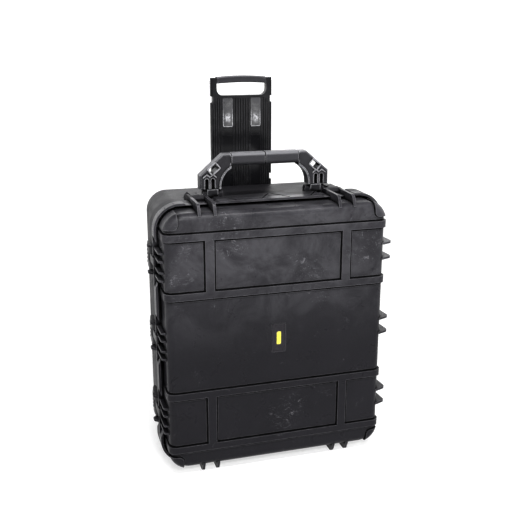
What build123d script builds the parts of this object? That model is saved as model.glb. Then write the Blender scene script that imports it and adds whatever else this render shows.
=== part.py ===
from build123d import *
import os

# Drone carrying case, standing on its bottom edge with the lid face towards -Y.
# Millimetres. Pieces are drawn with Y from the lid's front ridge plane and Z from
# the case's centre, then moved so that the origin is the bottom centre.

# Overall
PARTING_Y = 67.0
PARTING_GAP = 0.3
DEPTH = 262.0
HALF_HEIGHT = 248.0
TIP_X = 216.0
WALL = 3.5

# Lid shell
LID_HX = 199.0
LID_HZ = 234.0
LID_R = 36.0
LID_EDGE = 14.0
RIDGE = 3.0
RIDGE_OUT = 2.5
RIDGE_Z = (194.0, 91.5)
RIDGE_W = 12.5
BAR_X = 123.0
BAR_W = 15.6
PAD_X = 176.0
PAD_Z = 208.0
GROOVE_W = 2.8
GROOVE_DEEP = 2.2

# Base shell
BASE_HX = 197.0
BASE_HZ = 235.0
BASE_HX_BACK = 192.5
BASE_HZ_BACK = 232.5
BASE_R = 38.0
BASE_BACK_Y = 240.0
BASE_EDGE = 12.0

# Rim bands of the lid and base
BAND_HX = 209.0
BAND_HZ = 243.0
BAND_R = 46.0
BAND_T = 4.0
FLANGE_T = 5.7
LID_REACH = 20.0
BASE_REACH = 23.0

# Ribs
RIB_T = 4.0
TOP_RIB_T = 5.0
RIB_START_Y = 4.5
TOP_RIB_X = 125.0
TOP_RIB_HALF = 13.5
GUSSET_ANGLES = (12.0, 34.0, 56.0, 78.0)
RIM_SLOTS = ((-6.0, 59.0), (22.0, -59.0), (84.0, 59.0), (-74.0, -59.0))
RIM_SLOT_DEEP = 2.2
RIB_POCKET_HALF = 27.0
RIB_POCKET_Z = 239.5
BRACKET_HX = (121.5, 136.5)
HINGE_Z = (143.0, 0.0, -143.0)
HINGE_RIB_HALF = 14.0

# Hinge: knuckles round a pin beside the parting plane
HINGE_X = 211.0
KNUCKLE_R = 6.0
HINGE_PIN_R = 2.4
RUN_FIT = 0.05
KNUCKLE_GAP = 0.4

# Latches, on the side away from the hinge
LATCH_Z = (142.0, 0.0, -142.0)
LATCH_NAMES = ("top", "mid", "low")
LATCH_RIBS = (-24.0, -9.5, 9.5, 24.0)
LATCH_BAND_CUT = 39.0
LATCH_RIB_TIP = 207.5
LATCH_RIB_T = 3.2
LATCH_RIB_SHAPE = ((15.0, 194.0), (15.0, 200.5), (17.5, 205.5), (21.0, 207.5), (66.5, 207.5), (66.5, 194.0))
LEVER_PIVOT = (84.0, 203.0)
LEVER_HALF = 21.0
LEVER_PIN_R = 2.0
CLAW_PIVOT = (92.0, 207.6)
CLAW_HALF = 7.0
CLAW_PIN_R = 1.5
CATCH_X = 206.0
CATCH_Y = 58.5

# Carry handle
HANDLE_Y = 98.0
HANDLE_PIVOT_Z = 246.0
HANDLE_HX = 119.0
HANDLE_OPEN_HX = 81.0
HANDLE_OPEN_R = 37.0
HANDLE_TOP_Z = 318.0
HANDLE_SHOULDER = ((119.0, 281.0), (77.0, 317.0))
HANDLE_GRIP_T = 22.0
HANDLE_GRIP_DEEP = 26.0
HANDLE_T = 21.0
CORE_HALF = 6.0
WINDOW_AT = (93.5, 292.0)
WINDOW_TURN = 40.6
ARCH_RIM_W = 3.4
HANDLE_FOOT = (86.0, 106.0)
HANDLE_PIN_R = 3.5
LUG_R = 8.0

# Trolley handle
SLAB_HX = 60.5
SLAB_Y = (243.5, 256.5)
SLAB_TOP_Z = 442.0
SLAB_RAIL_Z = 438.0
SLAB_LOW_Z = -2.0
SLAB_TRAVEL = 205.0
HAND_HX = 49.0
HAND_Z = (405.0, 428.0)
NOTCH_Z = (397.5, 246.0, 192.5)
NOTCH_HALF = 6.0
PAD_STRIP_X = (17.5, 38.0)
PAD_STRIP_Z = (328.0, 397.0)
RAIL_X = (61.5, 74.0)
RAIL_Z = (-222.0, 212.0)
COVER_HX = 80.0
COVER_T = 3.3

# Wheels
WHEEL_R = 25.0
WHEEL_X = 166.0
WHEEL_HALF = 11.0
WHEEL_Y = 233.0
WHEEL_Z = WHEEL_R - HALF_HEIGHT
AXLE_R = 4.0
WELL_HALF = 13.0
WELL_R = 29.0

# Foam
FOAM_HX = 187.0
FOAM_HZ = 227.0
FOAM_R = 32.0
FOAM_WELL_GAP = 8.5
FOAM_Y = (71.0, 171.0)
BED_Y = (171.3, 222.0)
PAD_Y = (222.3, 235.5)
LID_FOAM_Y = (7.5, 58.0)
# Walls between the pockets: x from, x to, z from, z to
FOAM_WALLS = (
    (-187.0, 187.0, -42.0, -8.0),
    (-187.0, -150.0, -8.0, 192.0),
    (150.0, 187.0, -8.0, 192.0),
    (-187.0, -157.0, -182.0, -42.0),
    (163.0, 187.0, -182.0, -42.0),
    (-7.0, 13.0, -182.0, -42.0),
    (83.0, 101.0, -182.0, -42.0),
    (13.0, 83.0, -118.0, -106.0),
)
FOAM_ENDS = ((192.0, 227.0), (-227.0, -182.0))

# Pressure valve on the hinge side
VALVE_Y = 165.0
VALVE_R = 11.0


def front_slab(sketch, y0, y1):
    """Extrude an XZ sketch from depth y0 back to depth y1."""
    return extrude(Plane.XZ.offset(-y0) * sketch, -(y1 - y0))


def round_block(hx, hz, r, y0, y1):
    return front_slab(RectangleRounded(2 * hx, 2 * hz, r), y0, y1)


def block(x0, x1, y0, y1, z0, z1):
    mid = ((x0 + x1) / 2, (y0 + y1) / 2, (z0 + z1) / 2)
    return Pos(*mid) * Box(abs(x1 - x0), abs(y1 - y0), abs(z1 - z0))


def edge_plane(side, s):
    """Plane across one side: local x is depth, local y points out of the case."""
    if side == "top":
        return Plane(origin=(s, 0, 0), x_dir=(0, 1, 0), z_dir=(1, 0, 0))
    if side == "bottom":
        return Plane(origin=(s, 0, 0), x_dir=(0, 1, 0), z_dir=(-1, 0, 0))
    if side == "right":
        return Plane(origin=(0, 0, s), x_dir=(0, 1, 0), z_dir=(0, 0, -1))
    return Plane(origin=(0, 0, s), x_dir=(0, 1, 0), z_dir=(0, 0, 1))


def plate(side, s, points, thick):
    face = make_face(Polyline(*points, close=True))
    return extrude(edge_plane(side, s) * face, thick / 2, both=True)


def rod(side, s, centre, r, length):
    """Cylinder across a side plane, centred at s along the edge."""
    return extrude(edge_plane(side, s) * (Pos(*centre) * Circle(r)), length / 2, both=True)


def swept_rib(side, s, wall, tip, y_end, fall=0.0, thick=RIB_T):
    """Fin of the lid: it rises steeply from the shoulder, then runs back to the parting plane."""
    curve = Spline((RIB_START_Y, wall - 6.0), (RIB_START_Y + 5.0, wall + 0.45 * (tip - wall)),
                   (RIB_START_Y + 15.0, tip), tangents=((0.25, 1.0), (1.0, 0.0)))
    rest = Polyline((RIB_START_Y + 15.0, tip), (y_end, tip - fall), (y_end, wall - 3.0),
                    (RIB_START_Y + 12.0, wall - 6.0), (RIB_START_Y, wall - 6.0))
    return extrude(edge_plane(side, s) * make_face(curve + rest), thick / 2, both=True)


def both_signs(values):
    return [sign * v for v in values for sign in (-1, 1)]


def top_rib_positions():
    return [sign * TOP_RIB_X + d for sign in (-1, 1) for d in (-TOP_RIB_HALF, TOP_RIB_HALF)]


def band(y_lip, y_flange, y_face):
    """Rim band: a flange on the shell wall with an upturned lip round it."""
    lo, hi = min(y_flange, y_face), max(y_flange, y_face)
    flange = round_block(BAND_HX, BAND_HZ, BAND_R, lo, hi)
    flange -= round_block(BASE_HX - WALL, BASE_HZ - WALL, BASE_R - WALL, lo - 1, hi + 1)
    lo, hi = min(y_lip, y_flange), max(y_lip, y_flange)
    lip = round_block(BAND_HX, BAND_HZ, BAND_R, lo, hi)
    inner = (BAND_HX - BAND_T, BAND_HZ - BAND_T, BAND_R - BAND_T)
    lip -= round_block(*inner, lo - 1, hi + 1)
    return flange + lip


def latch_band_cut(y0, y1):
    """Space with 45-degree ends left by the band's lip at each latch."""
    cuts = []
    for z in LATCH_Z:
        a = LATCH_BAND_CUT
        shape = Polyline((-BAND_HX - 1, z - a - 9), (-BAND_HX + BAND_T + 0.5, z - a + 4),
                         (-BAND_HX + BAND_T + 0.5, z + a - 4), (-BAND_HX - 1, z + a + 9), close=True)
        cuts.append(front_slab(make_face(shape), y0, y1))
    return cuts


def rib_pockets(y0, y1):
    """Room left by the rim band round each pair of top and bottom ribs, with sloped ends."""
    low, high, half = RIB_POCKET_Z, BAND_HZ + 1, RIB_POCKET_HALF
    slope = high - low
    pockets = []
    for x in both_signs((TOP_RIB_X,)):
        for sign in (-1, 1):
            shape = Polyline((x - half, sign * low), (x - half - slope, sign * high),
                             (x + half + slope, sign * high), (x + half, sign * low), close=True)
            pockets.append(front_slab(make_face(shape), y0, y1))
    return pockets


def corner_gussets(y0, y1):
    """Thin radial webs in the lid band's pocket at each corner."""
    webs = []
    for sx in (-1, 1):
        for sz in (-1, 1):
            centre = Pos(sx * (LID_HX - LID_R), sz * (LID_HZ - LID_R))
            for angle in GUSSET_ANGLES:
                turn = sz * (angle if sx > 0 else 180 - angle)
                web = centre * Rot(0, 0, turn) * Pos(LID_R + 4.0, 0) * Rectangle(11.0, 1.8)
                webs.append(front_slab(web, y0, y1))
    return webs


def hinge_space():
    """Clearance round the knuckles of the other half."""
    return [rod("right", z, (PARTING_Y, HINGE_X), KNUCKLE_R + 0.6, 2 * HINGE_RIB_HALF + 5.5) for z in HINGE_Z]


def hinge_bores():
    return [rod("right", z, (PARTING_Y, HINGE_X), HINGE_PIN_R + RUN_FIT, 60.0) for z in HINGE_Z]


def raised_pattern():
    """Ridges, ladder bars and corner pads, as the spaces they fill on the lid face."""
    spaces = []
    for z in both_signs(RIDGE_Z):
        spaces.append(block(-230, 230, -1, 44, z - RIDGE_W / 2, z + RIDGE_W / 2))
    gap_mid = (RIDGE_Z[0] + RIDGE_Z[1]) / 2
    gap_half = (RIDGE_Z[0] - RIDGE_Z[1]) / 2
    for x in both_signs((BAR_X,)):
        for z in both_signs((gap_mid,)):
            spaces.append(block(x - BAR_W / 2, x + BAR_W / 2, -1, 12, z - gap_half, z + gap_half))
    corner = RectangleRounded(60, 60, 9)
    for x in both_signs((PAD_X + 30,)):
        for z in both_signs((PAD_Z + 30,)):
            spaces.append(front_slab(Pos(x, z) * corner, -1, 40))
    return spaces


def groove_spaces():
    """Strips beside the ridges, bars and pads, where a narrow groove runs."""
    strips = []
    beside = RIDGE_W / 2 + GROOVE_W / 2
    for z in both_signs(RIDGE_Z):
        for mid in (z - beside, z + beside):
            strips.append(block(-230, 230, -1, 44, mid - GROOVE_W / 2, mid + GROOVE_W / 2))
    gap_mid = (RIDGE_Z[0] + RIDGE_Z[1]) / 2
    gap_half = (RIDGE_Z[0] - RIDGE_Z[1]) / 2
    for x in both_signs((BAR_X,)):
        for mid in (x - BAR_W / 2 - GROOVE_W / 2, x + BAR_W / 2 + GROOVE_W / 2):
            for z in both_signs((gap_mid,)):
                low, high = mid - GROOVE_W / 2, mid + GROOVE_W / 2
                strips.append(block(low, high, -1, 12, z - gap_half, z + gap_half))
    for x in both_signs((PAD_X + 30,)):
        for z in both_signs((PAD_Z + 30,)):
            strips.append(front_slab(Pos(x, z) * RectangleRounded(63, 63, 10), -1, 40))
    return strips


def lid_skin(grow, y0):
    """Outside of the lid, larger by grow, with its rounded front edge."""
    body = round_block(LID_HX + grow, LID_HZ + grow, LID_R + grow, y0, PARTING_Y - PARTING_GAP)
    return fillet(body.faces().sort_by(Axis.Y)[0].edges(), LID_EDGE)


def lid_shell():
    face_y = PARTING_Y - PARTING_GAP
    outer = lid_skin(0.0, RIDGE)
    high = lid_skin(RIDGE_OUT, 0.0)
    peel = outer - lid_skin(-GROOVE_DEEP, RIDGE + GROOVE_DEEP)
    shell = outer
    for strip in groove_spaces():
        shell -= peel & strip
    for space in raised_pattern():
        shell += high & space
    rim = band(face_y - LID_REACH, face_y - FLANGE_T, face_y)
    for gap in rib_pockets(0.0, face_y + 1) + rim_slots():
        rim -= gap
    shell += rim
    for web in corner_gussets(face_y - LID_REACH + 5.0, face_y - FLANGE_T + 0.5):
        shell += web
    for cut in latch_band_cut(0.0, face_y - FLANGE_T):
        shell -= cut
    for space in hinge_space():
        shell -= space
    for x in top_rib_positions():
        for side in ("top", "bottom"):
            shell += swept_rib(side, x, LID_HZ, HALF_HEIGHT, face_y, 0.0, TOP_RIB_T)
    for z in LATCH_Z:
        for d in LATCH_RIBS:
            shell += plate("left", z + d, LATCH_RIB_SHAPE, LATCH_RIB_T)
    for z in HINGE_Z:
        for d in (-HINGE_RIB_HALF, HINGE_RIB_HALF):
            shell += swept_rib("right", z + d, LID_HX, TIP_X, face_y - 6.0, 3.0)
            shell += plate("right", z + d, ((face_y - 8, LID_HX - 2), (face_y - 8, TIP_X - 4),
                                            (face_y, TIP_X - 4), (face_y, LID_HX - 2)), RIB_T)
            shell += rod("right", z + d, (PARTING_Y, HINGE_X), KNUCKLE_R, RIB_T)
    for z in LATCH_Z:
        shell += block(-CATCH_X, -LID_HX + 1, CATCH_Y, face_y, z - 24, z + 24)
        shell -= block(-BAND_HX - 1, -CATCH_X, CATCH_Y - 2, face_y + 1, z - 7.5, z + 7.5)
    cavity = round_block(LID_HX - WALL, LID_HZ - WALL, LID_R - WALL, RIDGE + WALL, face_y + 1)
    shell -= fillet(cavity.faces().sort_by(Axis.Y)[0].edges(), LID_EDGE - WALL)
    groove = round_block(LID_HX + 3.5, LID_HZ + 3.5, LID_R + 3.5, face_y - 3.4, face_y + 1)
    groove -= round_block(LID_HX + 0.1, LID_HZ + 0.1, LID_R + 0.1, face_y - 4, face_y + 2)
    shell -= groove
    for bore in hinge_bores():
        shell -= bore
    label = front_slab(RectangleRounded(26, 54, 2.5), 0, RIDGE + 1.0)
    return shell - label


def rim_slots():
    """Narrow slanting slots across the parting line in the band's top face."""
    slots = []
    for x, lean in RIM_SLOTS:
        cutter = Box(46.0, 3.0, 2 * RIM_SLOT_DEEP)
        slots.append(Pos(x, PARTING_Y + 3.0, BAND_HZ) * Rot(0, 0, lean) * cutter)
    return slots


def lid_seal():
    face_y = PARTING_Y - PARTING_GAP
    ring = round_block(LID_HX + 3.2, LID_HZ + 3.2, LID_R + 3.2, face_y - 3.3, face_y + 0.1)
    return ring - round_block(LID_HX + 0.4, LID_HZ + 0.4, LID_R + 0.4, face_y - 4, face_y + 1)


def label_plate():
    body = front_slab(RectangleRounded(25, 53, 2.2), RIDGE - 0.9, RIDGE + 0.95)
    body -= front_slab(RectangleRounded(21, 49, 1.2), RIDGE - 2.0, RIDGE - 0.5)
    return body - front_slab(RectangleRounded(8.2, 24.2, 2.1), RIDGE - 2.0, RIDGE + 0.3)


def label_inlay():
    """Plain coloured tab let into the label plate."""
    return front_slab(RectangleRounded(8.0, 24.0, 2.0), RIDGE - 0.8, RIDGE + 0.25)


def lid_foam():
    body = round_block(LID_HX - WALL - 5, LID_HZ - WALL - 5, LID_R - WALL, *LID_FOAM_Y)
    return fillet(body.faces().sort_by(Axis.Y)[0].edges(), 9)


def tapered_block(hx, hz, r, hx_back, hz_back, y0, y1):
    front = Plane.XZ.offset(-y0) * RectangleRounded(2 * hx, 2 * hz, r)
    back = Plane.XZ.offset(-y1) * RectangleRounded(2 * hx_back, 2 * hz_back, r)
    return loft([front, back])


def wheel_wells(grow):
    """Wells with a round front, open at the back and bottom."""
    wells = []
    for x in (-WHEEL_X, WHEEL_X):
        tube = Pos(x, WHEEL_Y, WHEEL_Z) * Rot(0, 90, 0) * Cylinder(WELL_R + grow, 2 * (WELL_HALF + grow))
        half = WELL_HALF + grow
        tube += block(x - half, x + half, WHEEL_Y, 300, WHEEL_Z - 60, WHEEL_Z + WELL_R + grow)
        tube += block(x - half, x + half, WHEEL_Y - WELL_R - grow, 300, WHEEL_Z - 60, WHEEL_Z)
        wells.append(tube)
    return wells


def base_rib(side, s, wall, tip, reach, thick=RIB_T):
    """Fin of the base, carrying on from the lid's and falling to the wall after reach."""
    y0 = PARTING_Y + PARTING_GAP
    points = ((y0, wall - 3), (y0, tip), (y0 + 0.6 * reach, tip), (y0 + 0.85 * reach, tip - 4),
              (y0 + reach, wall + 1), (y0 + reach + 2, wall - 3))
    return plate(side, s, points, thick)


def latch_ear(s):
    """Ear beside a latch lever, standing prouder than the rim band."""
    y0 = PARTING_Y + PARTING_GAP
    points = ((y0, BASE_HX - 4), (y0, LATCH_RIB_TIP), (y0 + 5, TIP_X - 2), (y0 + 8, TIP_X), (y0 + 16, TIP_X),
              (y0 + 22, TIP_X - 6), (y0 + 36, BASE_HX - 2), (y0 + 40, BASE_HX - 4))
    return plate("left", s, points, RIB_T)


def bracket(sign):
    """Solid block that ties each pair of top ribs, and runs back outboard of the carry handle."""
    y0 = PARTING_Y + PARTING_GAP
    points = ((y0 + 8, BASE_HZ - 3), (y0 + 8, HALF_HEIGHT - 3), (y0 + 14, HALF_HEIGHT + 1),
              (y0 + 50, HALF_HEIGHT + 1), (y0 + 78, BASE_HZ + 2), (y0 + 80, BASE_HZ - 3))
    lo, hi = BRACKET_HX
    wedge = ((y0 + 6, BASE_HZ - 3), (y0 + 6, HALF_HEIGHT - 4), (y0 + 10, HALF_HEIGHT + 0.4),
             (y0 + 17.5, HALF_HEIGHT + 0.4), (y0 + 17.5, BASE_HZ - 3))
    tie = plate("top", sign * TOP_RIB_X, wedge, 2 * TOP_RIB_HALF + TOP_RIB_T)
    return plate("top", sign * (lo + hi) / 2, points, hi - lo) + tie


def handle_lugs():
    """Ears each side of the carry handle's feet, standing on the top wall."""
    lugs = []
    spans = ((77.0, HANDLE_FOOT[0] - 0.6), (HANDLE_FOOT[1] + 0.6, 112.5))
    for sign in (-1, 1):
        for lo, hi in spans:
            mid = sign * (lo + hi) / 2
            lug = rod("top", mid, (HANDLE_Y, HANDLE_PIVOT_Z), LUG_R, hi - lo)
            foot = ((HANDLE_Y - 11, BASE_HZ - 3), (HANDLE_Y - LUG_R, HANDLE_PIVOT_Z),
                    (HANDLE_Y + LUG_R, HANDLE_PIVOT_Z), (HANDLE_Y + LUG_R, BASE_HZ - 3))
            lugs.append(lug + plate("top", mid, foot, hi - lo))
    return lugs


def handle_axle(r, length):
    centre = sum(HANDLE_FOOT) / 2
    return [rod("top", sign * centre, (HANDLE_Y, HANDLE_PIVOT_Z), r, length) for sign in (-1, 1)]


def screw_points():
    return [(x, z) for x in (-68.0, 68.0) for z in (-205.0, -75.0, 60.0, 195.0)]


def rounded_back(body):
    return fillet(body.faces().sort_by(Axis.Y)[-1].edges(), BASE_EDGE)


def base_shell():
    y0 = PARTING_Y + PARTING_GAP
    shell = rounded_back(tapered_block(BASE_HX, BASE_HZ, BASE_R, BASE_HX_BACK, BASE_HZ_BACK, y0, BASE_BACK_Y))
    rim = band(y0 + BASE_REACH, y0 + FLANGE_T, y0)
    for gap in rib_pockets(y0 - 1, 120.0) + rim_slots() + latch_band_cut(y0 + FLANGE_T, 120.0):
        rim -= gap
    for z in LATCH_Z:
        rim -= block(-BAND_HX - 3, -BASE_HX - 5.5, y0 - 1, y0 + BASE_REACH + 1, z - 22, z + 22)
    shell += rim
    for space in hinge_space():
        shell -= space
    for x in top_rib_positions():
        inner = abs(x) < TOP_RIB_X
        shell += base_rib("top", x, BASE_HZ, HALF_HEIGHT, 27.0 if inner else 52.0, TOP_RIB_T)
        shell += base_rib("bottom", x, BASE_HZ, HALF_HEIGHT, 52.0, TOP_RIB_T)
    for sign in (-1, 1):
        shell += bracket(sign)
    for z in LATCH_Z:
        for d in (LATCH_RIBS[0], LATCH_RIBS[-1]):
            shell += latch_ear(z + d)
        shell -= rod("left", z, LEVER_PIVOT, LEVER_PIN_R + RUN_FIT, 58.0)
    ear = HINGE_RIB_HALF - RIB_T - KNUCKLE_GAP
    for z in HINGE_Z:
        for d in (-ear, ear):
            shell += base_rib("right", z + d, BASE_HX - 1, TIP_X, 40.0)
            shell += rod("right", z + d, (PARTING_Y, HINGE_X), KNUCKLE_R, RIB_T)
    for lug in handle_lugs():
        shell += lug
    cavity = tapered_block(BASE_HX - WALL, BASE_HZ - WALL, BASE_R - WALL, BASE_HX_BACK - WALL,
                           BASE_HZ_BACK - WALL, y0 - 1, BASE_BACK_Y - WALL)
    cavity = fillet(cavity.faces().sort_by(Axis.Y)[-1].edges(), BASE_EDGE - WALL)
    for well in wheel_wells(WALL):
        cavity -= well
    shell -= cavity
    for well in wheel_wells(0.0):
        shell -= well
    for bore in hinge_bores() + handle_axle(HANDLE_PIN_R + RUN_FIT, 60.0):
        shell -= bore
    for x in (-WHEEL_X, WHEEL_X):
        bore = Cylinder(AXLE_R + RUN_FIT, 2 * WELL_HALF + 2 * WALL + 2)
        shell -= Pos(x, WHEEL_Y, WHEEL_Z) * Rot(0, 90, 0) * bore
    shell -= Pos(BASE_HX, VALVE_Y, 0) * Rot(0, 90, 0) * Cylinder(VALVE_R - 4, 30)
    return shell


def axle_posts():
    """Plates that carry the wheel axles beside each well."""
    posts = []
    for x in (-WHEEL_X, WHEEL_X):
        for sign in (-1, 1):
            inner = x + sign * WELL_HALF
            outer = x + sign * (WELL_HALF + 6)
            posts.append(block(inner, outer, WHEEL_Y - 14, WHEEL_Y + 12, WHEEL_Z - 14, WHEEL_Z + 30))
    return posts


def hinge_pins():
    return [rod("right", z, (PARTING_Y, HINGE_X), HINGE_PIN_R, 2 * HINGE_RIB_HALF + RIB_T) for z in HINGE_Z]


def latch_lever(z):
    u, v = LEVER_PIVOT
    points = ((u - 3, v + 4.2), (u + 4, v + 8.0), (u + 12, v + 8.8), (u + 28, v + 8.2), (u + 38, v + 6.2),
              (u + 44, v + 3.0), (u + 44, v + 0.6), (u + 36, v - 1.2), (u + 24, v - 3.4), (u + 6, v - 4.4),
              (u, v - 5.0))
    body = plate("left", z, points, 2 * LEVER_HALF)
    body += rod("left", z, LEVER_PIVOT, 5.2, 2 * LEVER_HALF)
    body -= block(-v - 12, -v + 8, u - 8, CLAW_PIVOT[0] + 6.5, z - CLAW_HALF - 0.5, z + CLAW_HALF + 0.5)
    body -= rod("left", z, LEVER_PIVOT, LEVER_PIN_R + RUN_FIT, 60.0)
    body -= rod("left", z, CLAW_PIVOT, CLAW_PIN_R + RUN_FIT, 28.0)
    for d in (-14.0, -7.0, 0.0, 7.0, 14.0):
        ridge = ((u + 26, v + 6), (u + 28, v + 8.9), (u + 37, v + 7.1), (u + 39, v + 4))
        body += plate("left", z + d, ridge, 2.4)
    return body


def latch_claw(z):
    u, v = CLAW_PIVOT
    points = ((u + 1, v - 1.0), (CATCH_Y - 0.5, v - 1.0), (CATCH_Y - 0.5, v - 6.6), (CATCH_Y - 4.0, v - 6.6),
              (CATCH_Y - 6.2, v - 1.0), (CATCH_Y - 5.5, v + 1.4), (CATCH_Y - 2.0, v + 2.6), (u + 1, v + 2.6))
    body = plate("left", z, points, 2 * CLAW_HALF)
    body += rod("left", z, CLAW_PIVOT, 3.4, 2 * CLAW_HALF)
    return body - rod("left", z, CLAW_PIVOT, CLAW_PIN_R + RUN_FIT, 60.0)


def latch_pivot_pins():
    return [rod("left", z, LEVER_PIVOT, LEVER_PIN_R, 52.0) for z in LATCH_Z]


def claw_pin(z):
    return rod("left", z, CLAW_PIVOT, CLAW_PIN_R, 26.0)


def handle_outline():
    (x_low, z_low), (x_high, z_high) = HANDLE_SHOULDER
    return Polyline((-x_low, 255.5), (-x_low, z_low), (-x_high, z_high), (x_high, z_high), (x_low, z_low),
                    (x_low, 255.5), close=True)


def handle_foot(sign):
    """Narrow foot of a leg, round its pivot."""
    mid = sign * sum(HANDLE_FOOT) / 2
    wide = HANDLE_FOOT[1] - HANDLE_FOOT[0]
    half = HANDLE_T / 2
    points = ((HANDLE_Y - LUG_R, HANDLE_PIVOT_Z), (HANDLE_Y - half, 256.0), (HANDLE_Y + half, 256.0),
              (HANDLE_Y + LUG_R, HANDLE_PIVOT_Z))
    return plate("top", mid, points, wide) + rod("top", mid, (HANDLE_Y, HANDLE_PIVOT_Z), LUG_R, wide)


def leg_relief(sign, y_out, y_in):
    """Two round-topped pockets in a leg's face."""
    pockets = []
    for x in (95.4, 106.4):
        shape = Pos(sign * x, 262.0) * RectangleRounded(6.4, 26.0, 3.1)
        pockets.append(front_slab(shape, min(y_out, y_in), max(y_out, y_in)))
    return pockets


def leg_ridge(sign, y0, y1):
    """Raised zigzag over the pockets and raised frame round the window."""
    high, low = 283.5, 278.5
    top = ((89.0, low), (95.4, high), (100.9, low + 1), (106.4, high), (113.5, low))
    line = [(sign * x, z) for x, z in top]
    under = [(sign * x, z - 2.6) for x, z in reversed(top)]
    ridge = front_slab(make_face(Polyline(*line, *under, close=True)), y0, y1)
    place = Pos(sign * WINDOW_AT[0], WINDOW_AT[1]) * Rot(0, 0, -sign * WINDOW_TURN)
    return ridge + front_slab(place * RectangleRounded(21.0, 15.5, 2.0), y0, y1)


def arch_rim(y0, y1):
    """Raised border round the hand opening, on the legs only."""
    opening_top = HANDLE_TOP_Z - HANDLE_GRIP_T + 1.0
    wide = 2 * (HANDLE_OPEN_HX + ARCH_RIM_W)
    outer = RectangleRounded(wide, 140 + 2 * ARCH_RIM_W, HANDLE_OPEN_R + ARCH_RIM_W)
    rim = front_slab(Pos(0, opening_top - 70) * outer, y0, y1)
    rim -= block(-62.5, 62.5, y0 - 1, y1 + 1, 200, 330)
    return rim - block(-130, 130, y0 - 1, y1 + 1, 100, 256.5)


def handle_frame():
    front, back = HANDLE_Y - HANDLE_T / 2, HANDLE_Y + HANDLE_T / 2
    body = front_slab(make_face(handle_outline()), front, back)
    body = chamfer(body.faces().sort_by(Axis.Y)[0].edges() + body.faces().sort_by(Axis.Y)[-1].edges(), 2.2)
    for sign in (-1, 1):
        body += leg_ridge(sign, front - 1.2, front + 1.0) + leg_ridge(sign, back - 1.0, back + 1.2)
        for pocket in leg_relief(sign, front - 3.0, front + 7.5) + leg_relief(sign, back - 7.5, back + 3.0):
            body -= pocket
    body += arch_rim(front - 1.2, front + 1.0) + arch_rim(back - 1.0, back + 1.2)
    opening_top = HANDLE_TOP_Z - HANDLE_GRIP_T + 1.0
    opening = RectangleRounded(2 * HANDLE_OPEN_HX, 140, HANDLE_OPEN_R)
    body -= front_slab(Pos(0, opening_top - 70) * opening, front - 30, back + 30)
    core = HANDLE_TOP_Z - HANDLE_GRIP_T / 2
    for z in (core + CORE_HALF + 16, core - CORE_HALF - 16):
        body -= block(-62.5, 62.5, front - 9, back + 9, z - 16, z + 16)
    for sign in (-1, 1):
        body += handle_foot(sign)
        place = Pos(sign * WINDOW_AT[0], WINDOW_AT[1]) * Rot(0, 0, -sign * WINDOW_TURN)
        body -= front_slab(place * RectangleRounded(16.5, 11.0, 1.2), front - 30, back + 30)
    for bore in handle_axle(HANDLE_PIN_R + RUN_FIT, 60.0):
        body -= bore
    return body


def grip_bar(shrink, x0, x1):
    core = HANDLE_TOP_Z - HANDLE_GRIP_T / 2
    half, deep = HANDLE_GRIP_T / 2 - shrink, HANDLE_GRIP_DEEP / 2 - shrink
    body = block(x0, x1, HANDLE_Y - deep, HANDLE_Y + deep, core - half, core + half)
    return fillet(body.edges().filter_by(Axis.X), 7.5 - shrink)


def handle_grip():
    core = HANDLE_TOP_Z - HANDLE_GRIP_T / 2
    body = grip_bar(1.4, -62.2, 62.2)
    for x0, x1 in ((-61.2, -1.0), (1.0, 61.2)):
        body += grip_bar(0.0, x0, x1)
    half, deep = CORE_HALF + 0.05, HANDLE_T / 2 + 0.05
    return body - block(-80, 80, HANDLE_Y - deep, HANDLE_Y + deep, core - half, core + half)


def handle_pins():
    return handle_axle(HANDLE_PIN_R, 35.0)


def trolley_slab():
    body = block(-SLAB_HX, SLAB_HX, *SLAB_Y, SLAB_LOW_Z, SLAB_RAIL_Z)
    body = fillet(body.edges().filter_by(Axis.Z), 3.0)
    opening = RectangleRounded(2 * HAND_HX, 60, 12)
    body -= front_slab(Pos(0, HAND_Z[0] + 30) * opening, 230, 270)
    for z in NOTCH_Z:
        for sign in (-1, 1):
            low, high = z - NOTCH_HALF, z + NOTCH_HALF
            body -= block(sign * (SLAB_HX - 4), sign * (SLAB_HX + 2), 230, 270, low, high)
    top = HAND_Z[0] - 5
    face = SLAB_Y[0]
    for x in both_signs((57.0, 52.6, 48.2, 43.8)) + [-12.5, -7.5, -2.5, 2.5, 7.5, 12.5]:
        high = top - 10 if abs(x) > 50 else top
        body -= block(x - 1.1, x + 1.1, face - 1, face + 1.5, SLAB_LOW_Z + 20, high)
    lo, hi = PAD_STRIP_X
    for sign in (-1, 1):
        strip = Pos(sign * (lo + hi) / 2, (top + SLAB_LOW_Z + 20) / 2)
        body -= front_slab(strip * RectangleRounded(hi - lo, top - SLAB_LOW_Z - 20, 2), face - 1, face + 0.8)
        pad = Pos(sign * (lo + hi) / 2, sum(PAD_STRIP_Z) / 2)
        shape = RectangleRounded(hi - lo - 2.4, PAD_STRIP_Z[1] - PAD_STRIP_Z[0], 2)
        body += front_slab(pad * shape, face, face + 1)
    return body


def trolley_grip():
    end = HAND_HX - 0.1
    curve = ThreePointArc((-end, SLAB_TOP_Z - 2.5), (0, SLAB_TOP_Z), (end, SLAB_TOP_Z - 2.5))
    low = ThreePointArc((end, HAND_Z[1] - 1), (0, HAND_Z[1] + 1), (-end, HAND_Z[1] - 1))
    sides = Line(curve @ 1, low @ 0) + Line(low @ 1, curve @ 0)
    body = front_slab(make_face(curve + low + sides), SLAB_Y[0] - 1.5, SLAB_Y[1] + 1.5)
    return fillet(body.faces().sort_by(Axis.Y)[0].edges() + body.faces().sort_by(Axis.Y)[-1].edges(), 3.0)


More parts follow.
